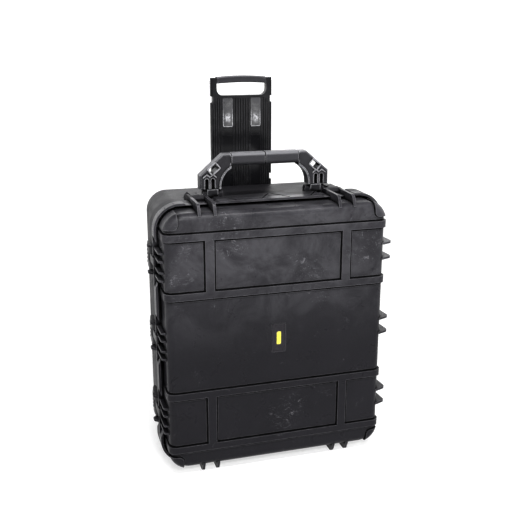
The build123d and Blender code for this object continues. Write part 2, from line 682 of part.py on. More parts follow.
def trolley_rails():
    """Side rails of the channel, screwed between the back wall and the cover."""
    rails = []
    for sign in (-1, 1):
        rail = block(sign * RAIL_X[0], sign * RAIL_X[1], BASE_BACK_Y + 0.05, DEPTH - COVER_T - 0.05, *RAIL_Z)
        for x, z in screw_points():
            rail -= Pos(x, DEPTH - 9, z) * Rot(90, 0, 0) * Cylinder(1.7, 14)
        rails.append(rail)
    return rails


def trolley_cover():
    body = front_slab(Pos(0, sum(RAIL_Z) / 2) * RectangleRounded(2 * COVER_HX, RAIL_Z[1] - RAIL_Z[0], 6),
                      DEPTH - COVER_T, DEPTH)
    for x in (-36.0, -12.0, 12.0, 36.0):
        body -= front_slab(Pos(x, sum(RAIL_Z) / 2) * RectangleRounded(14, 380, 6), DEPTH - 1.2, DEPTH + 1)
    for x, z in screw_points():
        body -= Pos(x, DEPTH, z) * Rot(90, 0, 0) * Cylinder(1.9, 20)
        body -= Pos(x, DEPTH, z) * Rot(90, 0, 0) * Cylinder(3.6, 4.0)
    return body


def cover_screws():
    solids = []
    for x, z in screw_points():
        head = Pos(x, DEPTH - 1.1, z) * Rot(90, 0, 0) * Cylinder(3.4, 1.6)
        head += Pos(x, DEPTH - 7.4, z) * Rot(90, 0, 0) * Cylinder(1.6, 11.2)
        head -= block(x - 2.2, x + 2.2, DEPTH - 1.0, DEPTH + 1, z - 0.4, z + 0.4)
        solids.append(head - block(x - 0.4, x + 0.4, DEPTH - 1.0, DEPTH + 1, z - 2.2, z + 2.2))
    return solids


def trolley_guides():
    """Slide pads between the slab and the back wall, two at the mouth and two low."""
    pads = []
    for z in (RAIL_Z[1] - 14, 30.0):
        for sign in (-1, 1):
            pads.append(block(sign * 22, sign * 40, BASE_BACK_Y + 0.1, SLAB_Y[0] - 0.4, z - 10, z + 10))
    return pads


def wheel_part(x, r_out, r_in, half):
    body = Pos(x, WHEEL_Y, WHEEL_Z) * Rot(0, 90, 0) * Cylinder(r_out, 2 * half)
    return body - Pos(x, WHEEL_Y, WHEEL_Z) * Rot(0, 90, 0) * Cylinder(r_in, 4 * half)


def wheel_tyre(x):
    body = wheel_part(x, WHEEL_R, 18.0, WHEEL_HALF - 1)
    rims = [e for e in body.edges().filter_by(GeomType.CIRCLE) if e.radius > WHEEL_R - 0.1]
    return fillet(rims, 4.0)


def wheel_hub(x):
    body = wheel_part(x, 17.95, AXLE_R + RUN_FIT, WHEEL_HALF - 1)
    for sign in (-1, 1):
        dish = Pos(x + sign * (WHEEL_HALF - 1), WHEEL_Y, WHEEL_Z) * Rot(0, 90, 0)
        body -= dish * (Cylinder(15.0, 6) - Cylinder(7.5, 10))
    return body


def wheel_axles():
    length = 2 * (WELL_HALF + WALL)
    return [Pos(x, WHEEL_Y, WHEEL_Z) * Rot(0, 90, 0) * Cylinder(AXLE_R, length) for x in (-WHEEL_X, WHEEL_X)]


def base_foam():
    """Upper foam layer: its rounded ends and the walls between the pockets, glued together."""
    block_all = round_block(FOAM_HX, FOAM_HZ, FOAM_R, *FOAM_Y)
    ends = [block_all & block(-FOAM_HX, FOAM_HX, *FOAM_Y, lo, hi) for lo, hi in FOAM_ENDS]
    walls = [block(x0, x1, *FOAM_Y, z0, z1) for x0, x1, z0, z1 in FOAM_WALLS]
    return ends + walls


def foam_bed():
    """Plain foam layer under the pockets."""
    body = round_block(FOAM_HX, FOAM_HZ, FOAM_R, *BED_Y)
    for well in wheel_wells(FOAM_WELL_GAP):
        body -= well
    return body


def base_pad():
    body = round_block(FOAM_HX, FOAM_HZ, FOAM_R, *PAD_Y)
    body = fillet(body.faces().sort_by(Axis.Y)[-1].edges(), BASE_EDGE - WALL)
    for well in wheel_wells(FOAM_WELL_GAP):
        body -= well
    return body


def valve_body():
    x = (BASE_HX + BASE_HX_BACK) / 2 + 0.5
    turn = Rot(0, 90, 0)
    body = Pos(x + 1.6, VALVE_Y, 0) * turn * Cylinder(VALVE_R, 3.0)
    body += Pos(x - 3, VALVE_Y, 0) * turn * Cylinder(VALVE_R - 4.05, 10.0)
    return body - Pos(x, VALVE_Y, 0) * turn * Cylinder(2.5, 60)


def valve_knob():
    x = (BASE_HX + BASE_HX_BACK) / 2 + 0.5
    body = Pos(x + 6.2, VALVE_Y, 0) * Rot(0, 90, 0) * Cylinder(8.0, 5.6)
    body += Pos(x, VALVE_Y, 0) * Rot(0, 90, 0) * Cylinder(2.45, 9.0)
    for k in range(12):
        flute = Pos(x + 7.2, VALVE_Y, 0) * Rot(30 * k, 0, 0) * Pos(0, 8.6, 0)
        body -= flute * Rot(0, 90, 0) * Cylinder(1.2, 6.0)
    return body


def save(name, pieces):
    solids = pieces if isinstance(pieces, list) else [pieces]
    placed = [Pos(0, -DEPTH / 2, HALF_HEIGHT) * s for s in solids]
    shape = placed[0] if len(placed) == 1 else Compound(children=placed)
    export_step(shape, "parts/" + name + ".step")


def make_base():
    shell = base_shell()
    for post in axle_posts():
        shell += post
    for x in (-WHEEL_X, WHEEL_X):
        shell -= Pos(x, WHEEL_Y, WHEEL_Z) * Rot(0, 90, 0) * Cylinder(AXLE_R + RUN_FIT, 60)
    return shell


os.makedirs("parts", exist_ok=True)
save("lid_shell", lid_shell())
save("lid_seal", lid_seal())
save("lid_foam", lid_foam())
save("label_plate", label_plate())
save("label_inlay", label_inlay())
save("base_shell", make_base())
save("base_foam", base_foam())
save("foam_bed", foam_bed())
save("base_pad", base_pad())
save("hinge_pins", hinge_pins())
save("latch_pivot_pins", latch_pivot_pins())
for latch, latch_z in zip(LATCH_NAMES, LATCH_Z):
    save("latch_lever_" + latch, latch_lever(latch_z))
    save("latch_claw_" + latch, latch_claw(latch_z))
    save("claw_pin_" + latch, claw_pin(latch_z))
save("handle_frame", handle_frame())
save("handle_grip", handle_grip())
save("handle_pins", handle_pins())
save("trolley_slab", trolley_slab())
save("trolley_grip", trolley_grip())
save("trolley_rails", trolley_rails())
save("trolley_cover", trolley_cover())
save("cover_screws", cover_screws())
save("trolley_guides", trolley_guides())
for side_name, side_x in (("left", -WHEEL_X), ("right", WHEEL_X)):
    save("wheel_tyre_" + side_name, wheel_tyre(side_x))
    save("wheel_hub_" + side_name, wheel_hub(side_x))
save("wheel_axles", wheel_axles())
save("valve_body", valve_body())
save("valve_knob", valve_knob())
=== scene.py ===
import bpy
import math
from mathutils import Matrix, Vector


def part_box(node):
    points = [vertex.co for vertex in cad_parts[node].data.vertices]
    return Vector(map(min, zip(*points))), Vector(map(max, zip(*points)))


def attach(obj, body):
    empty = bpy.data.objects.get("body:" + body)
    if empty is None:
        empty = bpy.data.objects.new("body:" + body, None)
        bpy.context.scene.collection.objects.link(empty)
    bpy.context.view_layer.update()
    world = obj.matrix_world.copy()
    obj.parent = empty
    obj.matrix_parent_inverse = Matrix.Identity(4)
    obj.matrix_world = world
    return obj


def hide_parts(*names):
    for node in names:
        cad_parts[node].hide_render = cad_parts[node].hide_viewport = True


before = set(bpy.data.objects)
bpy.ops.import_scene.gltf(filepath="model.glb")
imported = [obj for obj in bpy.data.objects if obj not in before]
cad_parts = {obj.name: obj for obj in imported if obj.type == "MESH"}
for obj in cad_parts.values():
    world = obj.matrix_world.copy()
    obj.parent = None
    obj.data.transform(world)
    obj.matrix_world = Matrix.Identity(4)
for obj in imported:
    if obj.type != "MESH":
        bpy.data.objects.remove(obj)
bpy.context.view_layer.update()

# Lengths are in metres and angles in degrees unless a name says otherwise.

# Camera
CAMERA_AT = (-0.4019, -1.3546, 0.7659)
CAMERA_YAW = 16.35
CAMERA_PITCH = 15.90
CAMERA_LENS_MM = 54.84
SENSOR_WIDTH_MM = 36.0

# Rounding of the CAD pieces
WELD_GAP = 0.00002
BEVEL_ANGLE = 32.0
BEVEL_SEGMENTS = 2

# Reach of the occlusion that finds crevices, for the painted crevice shade, and outward edges, for the
# painted edge highlights, and its samples
CREVICE_REACH = 0.007
EDGE_REACH = 0.0016
OCCLUSION_SAMPLES = 6

# Heights between which the painted light on the upper lid sets in
UPPER_LIGHT_FROM, UPPER_LIGHT_FULL = 0.20, 0.40

# Glossy pads on the trolley slab: place of the right one, half sizes, corner, gap to the slab and dome
PAD_X, PAD_Z = 0.02775, 0.6207
PAD_HX, PAD_HZ = 0.0096, 0.0272
PAD_CORNER = 0.002
PAD_GAP = 0.00005
PAD_RISE = 0.0002
PAD_STEPS = 24

# Foam: corner of the slabs, arrises, pitch and width of the pluck-out cuts
FOAM_CORNER = 0.032
POCKET_ARRIS = 0.003
BED_ARRIS = 0.0015
CUT_PITCH = 0.0125
CUT_WIDTH = 0.0007

# Egg-crate foam: pitch and depth of its waves, corner, grid step and sink of its outermost three rows
EGG_PITCH = 0.030
EGG_DEEP = 0.020
EGG_CORNER = 0.030
EGG_STEP = 0.003
EGG_SINK = (0.0045, 0.0016, 0.0004)

# The lower foam is cut away over the wheel boxes: half width left between them, and their top
NOTCH_X = 0.144
NOTCH_TOP = 0.063

# Foam pockets: centre x and z, half width, half height, corner radius
POCKETS = (
    (0.0, 0.340, 0.150, 0.100, 0.022),
    (-0.082, 0.136, 0.075, 0.070, 0.016),
    (0.048, 0.174, 0.035, 0.032, 0.010),
    (0.048, 0.098, 0.035, 0.032, 0.010),
    (0.132, 0.136, 0.031, 0.070, 0.012),
)
ARC_STEPS = 8

# Stage
FLOOR_HALF = 12.0
WALL_HALF = 11.9
WALL_HEIGHT = 9
FLOOR_GLOW_NEAR, FLOOR_GLOW_FAR = 0.60, 0.83
FLOOR_GLOW_FROM, FLOOR_GLOW_FULL = 0.9, 3.6
WORLD_STRENGTH = 0.06
VIEW_GAMMA = 0.80
VIEW_EXPOSURE = 0.10

# Lights: name, place, target, size, watts
LIGHTS = (
    ("overhead", (0.0, -0.80, 1.65), (0.0, -0.10, 0.50), (1.2, 0.14), 23),
    ("front", (0.66, -2.1, 0.34), (0.02, 0.12, 0.60), (0.16, 0.16), 3.4),
    ("high_front", (-0.3, -2.2, 1.9), (0.0, 0.0, 0.60), (0.7, 0.4), 52),
    ("right", (2.4, -0.4, 1.3), (0.0, 0.0, 0.3), (0.5, 1.2), 8),
    ("back", (0.6, 2.4, 2.2), (0.0, 0.2, 0.5), (1.2, 0.6), 14),
)

# Colours
BLACK = (0.0125, 0.0120, 0.0145)
# The lid's copy of the black plastic, painted lighter than BLACK to stand for the light on its front
LID_LIT_BLACK = (0.0180, 0.0173, 0.0208)
TROLLEY_BLACK = (0.0075, 0.0075, 0.0088)
HANDLE_GREY = (0.034, 0.0335, 0.037)
GRIP_GREY = (0.044, 0.0435, 0.048)
HUB_GREY = (0.03, 0.03, 0.033)
# Worn hub colour, also the painted highlight on the hub's edges
HUB_WORN_AND_LIT = (0.2, 0.2, 0.21)
LABEL_BLACK = (0.016, 0.014, 0.0185)
YELLOW = (0.62, 0.56, 0.03)
# Worn yellow, also the painted highlight on the label tab's edges
YELLOW_WORN_AND_LIT = (0.7, 0.66, 0.3)
# Chalk: colour of the scuffs and of painted light on edges, on the upper lid and on faces that look up
CHALK_AND_LIGHT = (0.170, 0.168, 0.180)
# Pale: colour of the handle's scuffs and of painted light on its edges and on faces that look up
PALE = (0.30, 0.30, 0.315)
PAD_DARK = (0.024, 0.024, 0.026)
PAD_GREY = (0.042, 0.042, 0.046)
# Colour of the painted glint and rim highlights on the trolley pads
PAD_HIGHLIGHT = (0.42, 0.42, 0.44)
SEAL_BLACK = (0.02, 0.02, 0.02)
TYRE_BLACK = (0.016, 0.016, 0.017)
STEEL_DARK = (0.42, 0.42, 0.43)
STEEL_LIGHT = (0.62, 0.62, 0.63)
FOAM_BLACK = (0.026, 0.026, 0.029)
EGG_BLACK = (0.032, 0.032, 0.036)
FLOOR_DARK = (0.42, 0.42, 0.42)
FLOOR_LIGHT = (0.44, 0.44, 0.44)
WALL_WHITE = (0.9, 0.9, 0.9)
WHITE = (1.0, 1.0, 1.0)

# Painted crevice shade: occlusion at which a crevice is darkest and at which the shade ends, and the share
# of colour left in it
SOFT_CREVICE_SHADE = (0.42, 0.93, 0.15)
BOLD_CREVICE_SHADE = (0.52, 0.95, 0.05)
DEEP_CREVICE_SHADE = (0.62, 0.97, 0.05)

# Places on the lid with most scuffs: centre and radius
LID_SCUFFS = (
    ((-0.165, -0.128, 0.385), 0.060),
    ((0.050, -0.128, 0.345), 0.085),
    ((-0.090, -0.125, 0.460), 0.080),
    ((0.165, -0.128, 0.400), 0.050),
    ((0.005, -0.128, 0.105), 0.070),
)

# Scratches: turn in radians about Y and stretch of the noise that draws them
SCRATCHES = ((0.5, (1.0, 1.0, 7.0)), (-0.9, (1.0, 1.0, 9.0)), (1.4, (1.0, 1.0, 6.0)))


# ---------------------------------------------------------------- shader nodes

def new_material(name):
    mat = bpy.data.materials.new(name)
    mat.use_nodes = True
    tree = mat.node_tree
    bsdf = tree.nodes["Principled BSDF"]
    coord = tree.nodes.new("ShaderNodeTexCoord")
    return mat, tree, bsdf, coord.outputs["Object"]


def noise(tree, vector, scale, detail=4.0, rough=0.55, distortion=0.0):
    node = tree.nodes.new("ShaderNodeTexNoise")
    node.inputs["Scale"].default_value = scale
    node.inputs["Detail"].default_value = detail
    node.inputs["Roughness"].default_value = rough
    node.inputs["Distortion"].default_value = distortion
    tree.links.new(vector, node.inputs["Vector"])
    return node.outputs["Fac"]


def ramp(tree, value, low, high, out_low=0.0, out_high=1.0):
    node = tree.nodes.new("ShaderNodeMapRange")
    node.interpolation_type = "SMOOTHSTEP"
    node.inputs["From Min"].default_value = low
    node.inputs["From Max"].default_value = high
    node.inputs["To Min"].default_value = out_low
    node.inputs["To Max"].default_value = out_high
    tree.links.new(value, node.inputs["Value"])
    return node.outputs["Result"]


def patches(tree, vector, scale, detail, limits, outs=(0.0, 1.0), rough=0.55, distortion=0.0):
    """Noise spread from its lower and upper limits to the two outs."""
    return ramp(tree, noise(tree, vector, scale, detail, rough, distortion), *limits, *outs)


def math_node(tree, kind, a, b):
    node = tree.nodes.new("ShaderNodeMath")
    node.operation = kind
    for socket, value in zip(node.inputs, (a, b)):
        if isinstance(value, (int, float)):
            socket.default_value = value
        else:
            tree.links.new(value, socket)
    return node.outputs[0]


def product(tree, first, *others):
    for other in others:
        first = math_node(tree, "MULTIPLY", first, other)
    return first


def total(tree, a, b):
    return math_node(tree, "ADD", a, b)


def greatest(tree, a, b):
    return math_node(tree, "MAXIMUM", a, b)


def mix_colour(tree, fac, a, b):
    node = tree.nodes.new("ShaderNodeMix")
    node.data_type = "RGBA"
    tree.links.new(fac, node.inputs["Factor"])
    for socket, value in ((node.inputs[6], a), (node.inputs[7], b)):
        if isinstance(value, tuple):
            socket.default_value = (*value, 1.0)
        else:
            tree.links.new(value, socket)
    return node.outputs[2]


def tinted(colour, share):
    return tuple(share * c for c in colour)


def bump(tree, bsdf, height, strength, distance):
    node = tree.nodes.new("ShaderNodeBump")
    node.inputs["Strength"].default_value = strength
    node.inputs["Distance"].default_value = distance
    tree.links.new(height, node.inputs["Height"])
    tree.links.new(node.outputs["Normal"], bsdf.inputs["Normal"])


def split(tree, vector):
    """A vector's X, Y and Z sockets."""
    node = tree.nodes.new("ShaderNodeSeparateXYZ")
    tree.links.new(vector, node.inputs["Vector"])
    return node.outputs


def cells(tree, at, scale):
    """Distance from the middle of each Voronoi cell."""
    node = tree.nodes.new("ShaderNodeTexVoronoi")
    node.inputs["Scale"].default_value = scale
    tree.links.new(at, node.inputs["Vector"])
    return node.outputs["Distance"]


def near(tree, at, centre, radius):
    """1 at a place on the part, fading to 0 at radius."""
    node = tree.nodes.new("ShaderNodeVectorMath")
    node.operation = "DISTANCE"
    tree.links.new(at, node.inputs[0])
    node.inputs[1].default_value = centre
    return ramp(tree, node.outputs["Value"], 0.25 * radius, radius, 1.0, 0.0)


def occlusion(tree, distance, inside=False):
    """1 on open faces, falling in crevices, or at outward edges when it looks inside."""
    node = tree.nodes.new("ShaderNodeAmbientOcclusion")
    node.samples = OCCLUSION_SAMPLES
    node.inside = inside
    node.inputs["Distance"].default_value = distance
    return node.outputs["AO"]


def stretched(tree, at, factors, turn):
    node = tree.nodes.new("ShaderNodeMapping")
    node.inputs["Rotation"].default_value = (0.0, turn, 0.0)
    node.inputs["Scale"].default_value = factors
    tree.links.new(at, node.inputs["Vector"])
    return node.outputs["Vector"]


def upward(tree):
    """1 on faces that look up, 0 on walls."""
    coord = tree.nodes.new("ShaderNodeTexCoord")
    return ramp(tree, split(tree, coord.outputs["Normal"])["Z"], 0.15, 0.75)


# ---------------------------------------------------------------- materials

def scuff_mask(tree, at, places):
    """Chalky rubbing marks: ragged blotches, short scratches and specks in loose clusters."""
    blotches = patches(tree, at, 75.0, 9.0, (0.56, 0.64), rough=0.80, distortion=0.9)
    specks = patches(tree, at, 420.0, 3.0, (0.62, 0.70), rough=0.6)
    marks = greatest(tree, blotches, product(tree, specks, 0.6))
    for turn, factors in SCRATCHES:
        along = stretched(tree, at, factors, turn)
        scratch = patches(tree, along, 42.0, 5.0, (0.64, 0.69), rough=0.7, distortion=0.6)
        marks = greatest(tree, marks, product(tree, scratch, 0.7))
    cluster = noise(tree, at, 17.0, 7.0, 0.66, 0.5)
    for centre, radius in places:
        cluster = total(tree, cluster, product(tree, near(tree, at, centre, radius), 0.15))
    return product(tree, marks, ramp(tree, cluster, 0.55, 0.72))


def plastic_tone(tree, at, colour):
    """Cloudy colour with fine lighter flecks."""
    cloud = patches(tree, at, 5.0, 4.0, (0.32, 0.68), rough=0.6, distortion=0.3)
    fleck = patches(tree, at, 650.0, 3.0, (0.35, 0.65))
    base = mix_colour(tree, cloud, tinted(colour, 0.74), colour)
    return mix_colour(tree, product(tree, fleck, 0.5), base, tinted(colour, 1.22))


def painted_upper_light(tree, at, haze):
    """Painted light: the upper part of the lid lightened in uneven patches, standing for the light that
    falls on it from above.
    """
    high = ramp(tree, split(tree, at)["Z"], UPPER_LIGHT_FROM, UPPER_LIGHT_FULL)
    uneven = patches(tree, at, 14.0, 7.0, (0.36, 0.66), (0.25, 1.0), rough=0.66, distortion=0.6)
    return product(tree, high, uneven, haze)


def rubbed_and_lit_edges(tree, at, reach):
    """Outward edges, lightened as rubbing wear and as a painted edge highlight, more in some places than in
    others.
    """
    edges = ramp(tree, occlusion(tree, reach, True), 0.55, 0.90, 1.0, 0.0)
    return product(tree, edges, patches(tree, at, 70.0, 5.0, (0.30, 0.62), (0.35, 1.0), rough=0.7))


def moulded(name, colour, worn_and_lit, rough, scuff=0.5, grain=1.0, specular=0.5, places=(), edge=0.3, haze=0.0,
            top=0.0, crevice_shade=SOFT_CREVICE_SHADE, edge_reach=EDGE_REACH):
    """Moulded plastic: spark-eroded grain, cloudy tone, chalky scuffs, rubbed edges with a painted
    highlight, painted shade in crevices.

    scuff, edge, haze and top are the strengths of the scuffs, the rubbed edges with their painted highlight,
    the painted light on the upper part and the painted light on faces that look up; places are spots with
    more scuffs.
    """
    mat, tree, bsdf, at = new_material(name)
    base = plastic_tone(tree, at, colour)
    # Painted light: the upper part is lightened in uneven patches
    if haze:
        base = mix_colour(tree, painted_upper_light(tree, at, haze), base, worn_and_lit)
    # Painted light: faces that look up are lightened
    if top:
        base = mix_colour(tree, product(tree, upward(tree), top), base, worn_and_lit)
    scuffs = product(tree, scuff_mask(tree, at, places), scuff)
    # Scuffs, and outward edges lightened as wear and as a painted highlight
    wear_and_edge_light = greatest(tree, scuffs, product(tree, rubbed_and_lit_edges(tree, at, edge_reach), edge))
    # Painted shade: crevices found by occlusion are darkened
    darkest, ends, left = crevice_shade
    crevice_shade_fac = ramp(tree, occlusion(tree, CREVICE_REACH), darkest, ends)
    shade = mix_colour(tree, wear_and_edge_light, base, worn_and_lit)
    tree.links.new(mix_colour(tree, crevice_shade_fac, tinted(colour, left), shade), bsdf.inputs["Base Color"])
    rough_map = patches(tree, at, 22.0, 6.0, (0.3, 0.7), (rough - 0.05, rough + 0.06), 0.6, 0.5)
    rough_map = total(tree, rough_map, product(tree, wear_and_edge_light, 0.3))
    rough_map = total(tree, rough_map, ramp(tree, crevice_shade_fac, 0.0, 1.0, 0.4, 0.0))
    tree.links.new(rough_map, bsdf.inputs["Roughness"])
    bsdf.inputs["Specular IOR Level"].default_value = specular
    pitted = product(tree, cells(tree, at, 900.0), 0.6)
    height = total(tree, noise(tree, at, 1300.0, 2.0), pitted)
    height = total(tree, height, product(tree, wear_and_edge_light, 0.4))
    bump(tree, bsdf, height, 0.30 * grain, 0.0002)
    return mat


def pad_gloss(name):
    """Glossy pad, mottled grey, with a painted glint in its lower half and painted highlights along its
    lower rim and sides.
    """
    mat, tree, bsdf, at = new_material(name)
    axes = split(tree, at)
    from_middle = math_node(tree, "SUBTRACT", math_node(tree, "ABSOLUTE", axes["X"], 0.0), PAD_X)
    across = math_node(tree, "DIVIDE", math_node(tree, "ABSOLUTE", from_middle, 0.0), PAD_HX)
    along = math_node(tree, "DIVIDE", math_node(tree, "SUBTRACT", axes["Z"], PAD_Z), PAD_HZ)
    # Painted highlights along the sides and the lower rim
    side_highlight = product(tree, ramp(tree, across, 0.84, 0.92), ramp(tree, along, -0.3, 0.4, 1.0, 0.15))
    low_highlight = ramp(tree, along, -0.975, -0.945, 1.0, 0.0)
    rim = product(tree, greatest(tree, side_highlight, low_highlight), 0.75)
    rim = product(tree, rim, patches(tree, at, 300.0, 3.0, (0.30, 0.55), (0.4, 1.0), rough=0.6))
    # Painted glint in the lower half
    painted_glint = product(tree, ramp(tree, along, -0.80, -0.40), ramp(tree, along, -0.40, 0.05, 1.0, 0.0))
    painted_glint = product(tree, painted_glint, ramp(tree, across, 0.15, 0.80, 1.0, 0.10))
    painted_glint = product(tree, painted_glint, patches(tree, at, 260.0, 5.0, (0.40, 0.60), (0.10, 1.0), rough=0.7))
    grey = patches(tree, at, 60.0, 6.0, (0.30, 0.70), rough=0.65)
    base = mix_colour(tree, grey, PAD_DARK, PAD_GREY)
    shade = mix_colour(tree, greatest(tree, rim, painted_glint), base, PAD_HIGHLIGHT)
    tree.links.new(shade, bsdf.inputs["Base Color"])
    tree.links.new(ramp(tree, grey, 0.0, 1.0, 0.22, 0.34), bsdf.inputs["Roughness"])
    bsdf.inputs["Specular IOR Level"].default_value = 0.5
    bump(tree, bsdf, noise(tree, at, 500.0, 4.0), 0.25, 0.0003)
    return mat


def rubber(name, colour, rough=0.7):
    mat, tree, bsdf, at = new_material(name)
    mottle = patches(tree, at, 40.0, 5.0, (0.35, 0.65))
    tree.links.new(mix_colour(tree, mottle, colour, tinted(colour, 1.5)), bsdf.inputs["Base Color"])
    tree.links.new(ramp(tree, mottle, 0.0, 1.0, rough - 0.08, rough + 0.08), bsdf.inputs["Roughness"])
    bump(tree, bsdf, noise(tree, at, 1500.0, 2.0), 0.3, 0.0003)
    return mat


def foam(name, colour, precut=0.0):
    """Open-cell foam: small cells, very matt; precut is the pitch of its pluck-out cubes, if any."""
    mat, tree, bsdf, at = new_material(name)
    height = cells(tree, at, 620.0)
    shade = ramp(tree, height, 0.1, 0.8)
    base = mix_colour(tree, shade, tinted(colour, 1.7), colour)
    if precut:
        axes = split(tree, at)
        lines = []
        for axis in ("X", "Z"):
            saw = math_node(tree, "PINGPONG", axes[axis], precut / 2)
            lines.append(ramp(tree, saw, 0.0, CUT_WIDTH, 1.0, 0.0))
        cuts = greatest(tree, *lines)
        # Painted shade: the cut lines are darkened
        base = mix_colour(tree, product(tree, cuts, 0.75), base, tinted(colour, 0.2))
        height = math_node(tree, "SUBTRACT", height, product(tree, cuts, 1.6))
    tree.links.new(base, bsdf.inputs["Base Color"])
    tree.links.new(ramp(tree, shade, 0.0, 1.0, 0.98, 0.86), bsdf.inputs["Roughness"])
    bsdf.inputs["Specular IOR Level"].default_value = 0.2
    bump(tree, bsdf, height, 0.6, 0.0007)
    return mat


def steel(name):
    mat, tree, bsdf, at = new_material(name)
    bsdf.inputs["Metallic"].default_value = 1.0
    streaks = patches(tree, at, 400.0, 4.0, (0.3, 0.7))
    tree.links.new(mix_colour(tree, streaks, STEEL_DARK, STEEL_LIGHT), bsdf.inputs["Base Color"])
    tree.links.new(ramp(tree, streaks, 0.0, 1.0, 0.26, 0.42), bsdf.inputs["Roughness"])
    bump(tree, bsdf, streaks, 0.1, 0.0002)
    return mat


SHELL = moulded("case_plastic", LID_LIT_BLACK, CHALK_AND_LIGHT, rough=0.31, scuff=0.85, specular=0.15, places=LID_SCUFFS,
                edge=0.55, haze=0.28, crevice_shade=BOLD_CREVICE_SHADE)
SHELL_BACK = moulded("base_plastic", BLACK, CHALK_AND_LIGHT, rough=0.44, scuff=0.3, specular=0.10, edge=0.40, top=0.08)
LATCH = moulded("latch_plastic", BLACK, CHALK_AND_LIGHT, rough=0.32, scuff=0.3, specular=0.16, edge=0.50)
HANDLE = moulded("handle_plastic", HANDLE_GREY, PALE, rough=0.34, scuff=1.0, specular=0.08, edge=1.0,
                 top=0.35, crevice_shade=DEEP_CREVICE_SHADE, edge_reach=0.003)
GRIP = moulded("grip_plastic", GRIP_GREY, PALE, rough=0.40, scuff=0.7, grain=1.6, specular=0.12, edge=0.80,
               top=0.45, crevice_shade=DEEP_CREVICE_SHADE, edge_reach=0.0015)
TROLLEY = moulded("trolley_plastic", TROLLEY_BLACK, CHALK_AND_LIGHT, rough=0.26, scuff=0.25, grain=0.5,
                  specular=0.16, edge=0.22)
HUB = moulded("hub_plastic", HUB_GREY, HUB_WORN_AND_LIT, rough=0.42, scuff=0.3)
LABEL = moulded("label_plastic", LABEL_BLACK, CHALK_AND_LIGHT, rough=0.38, scuff=0.2, specular=0.25)
INLAY = moulded("label_tab", YELLOW, YELLOW_WORN_AND_LIT, rough=0.42, scuff=0.15)
PAD = pad_gloss("pad_gloss")
SEAL = rubber("seal_rubber", SEAL_BLACK)
TYRE = rubber("tyre_rubber", TYRE_BLACK, 0.6)
STEEL = steel("pin_steel")
FOAM_CUT = foam("pluck_foam", FOAM_BLACK, CUT_PITCH)
FOAM_PLAIN = foam("egg_foam", EGG_BLACK)


# ---------------------------------------------------------------- CAD pieces

# Material of each CAD node and the width its edges are rounded by
FINISHES = {
    "lid_shell": (SHELL, 0.0006),
    "base_shell": (SHELL_BACK, 0.0006),
    "label_plate": (LABEL, 0.0003),
    "label_inlay": (INLAY, 0.0003),
    "handle_frame": (HANDLE, 0.0006),
    "handle_grip": (GRIP, 0.0006),
    "trolley_slab": (TROLLEY, 0.0004),
    "trolley_grip": (HANDLE, 0.0006),
    "trolley_rails": (SHELL_BACK, 0.0004),
    "trolley_cover": (SHELL_BACK, 0.0004),
    "trolley_guides": (HUB, 0.0003),
    "lid_seal": (SEAL, 0.0005),
    "valve_body": (LATCH, 0.0004),
    "valve_knob": (LATCH, 0.0003),
    "hinge_pins": (STEEL, 0.0003),
    "latch_pivot_pins": (STEEL, 0.0003),
    "handle_pins": (STEEL, 0.0004),
    "cover_screws": (STEEL, 0.0002),
    "wheel_axles": (STEEL, 0.0004),
}
for end in ("top", "mid", "low"):
    FINISHES["latch_lever_" + end] = (LATCH, 0.0006)
    FINISHES["latch_claw_" + end] = (LATCH, 0.0004)
    FINISHES["claw_pin_" + end] = (STEEL, 0.0003)
for end in ("left", "right"):
    FINISHES["wheel_tyre_" + end] = (TYRE, 0.0005)
    FINISHES["wheel_hub_" + end] = (HUB, 0.0005)


def soften(obj, width):
    """Weld the CAD mesh's split corners and round its sharp edges."""
    weld = obj.modifiers.new("weld", "WELD")
    weld.merge_threshold = WELD_GAP
    bevel = obj.modifiers.new("round", "BEVEL")
    bevel.width = width
    bevel.segments = BEVEL_SEGMENTS
    bevel.limit_method = "ANGLE"
    bevel.angle_limit = math.radians(BEVEL_ANGLE)
    bevel.harden_normals = False
    bevel.use_clamp_overlap = True
    normal = obj.modifiers.new("normal", "WEIGHTED_NORMAL")
    normal.keep_sharp = False
    for poly in obj.data.polygons:
        poly.use_smooth = True


def finish_nodes():
    for node_name, (material, width) in FINISHES.items():
        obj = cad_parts[node_name]
        soften(obj, width)
        obj.data.materials.clear()
        obj.data.materials.append(material)


# ---------------------------------------------------------------- meshes

def new_mesh(name, verts, faces):
    mesh = bpy.data.meshes.new(name)
    mesh.from_pydata(verts, [], faces)
    return mesh


def new_object(name, mesh, material):
    mesh.materials.clear()
    mesh.materials.append(material)
    obj = bpy.data.objects.new(name, mesh)
    bpy.context.collection.objects.link(obj)
    return obj


def corner_point(x, z, hx, hz, r):
    """Move a grid point of a rectangle so that the rectangle's corners become round."""
    over_x, over_z = abs(x) - (hx - r), abs(z) - (hz - r)
    if over_x <= 0 or over_z <= 0:
        return x, z
    a, b = over_x / r, over_z / r
    round_x = r * a * math.sqrt(1 - b * b / 2)
    round_z = r * b * math.sqrt(1 - a * a / 2)
    return math.copysign(hx - r + round_x, x), math.copysign(hz - r + round_z, z)


def pillow(name, x, z, y_back):
    """Trolley pad with a gently domed face, towards -Y."""
    verts, faces = [], []
    for j in range(PAD_STEPS + 1):
        for i in range(PAD_STEPS + 1):
            u, v = 2 * i / PAD_STEPS - 1, 2 * j / PAD_STEPS - 1
            dome = (1 - abs(u) ** 2.6) * (1 - abs(v) ** 6)
            px, pz = corner_point(u * PAD_HX, v * PAD_HZ, PAD_HX, PAD_HZ, PAD_CORNER)
            verts.append((x + px, y_back - PAD_RISE * dome, z + pz))
    for j in range(PAD_STEPS):
        for i in range(PAD_STEPS):
            a = j * (PAD_STEPS + 1) + i
            faces.append((a, a + 1, a + PAD_STEPS + 2, a + PAD_STEPS + 1))
    mesh = new_mesh(name, verts, faces)
    for poly in mesh.polygons:
        poly.use_smooth = True
    return new_object(name, mesh, PAD)


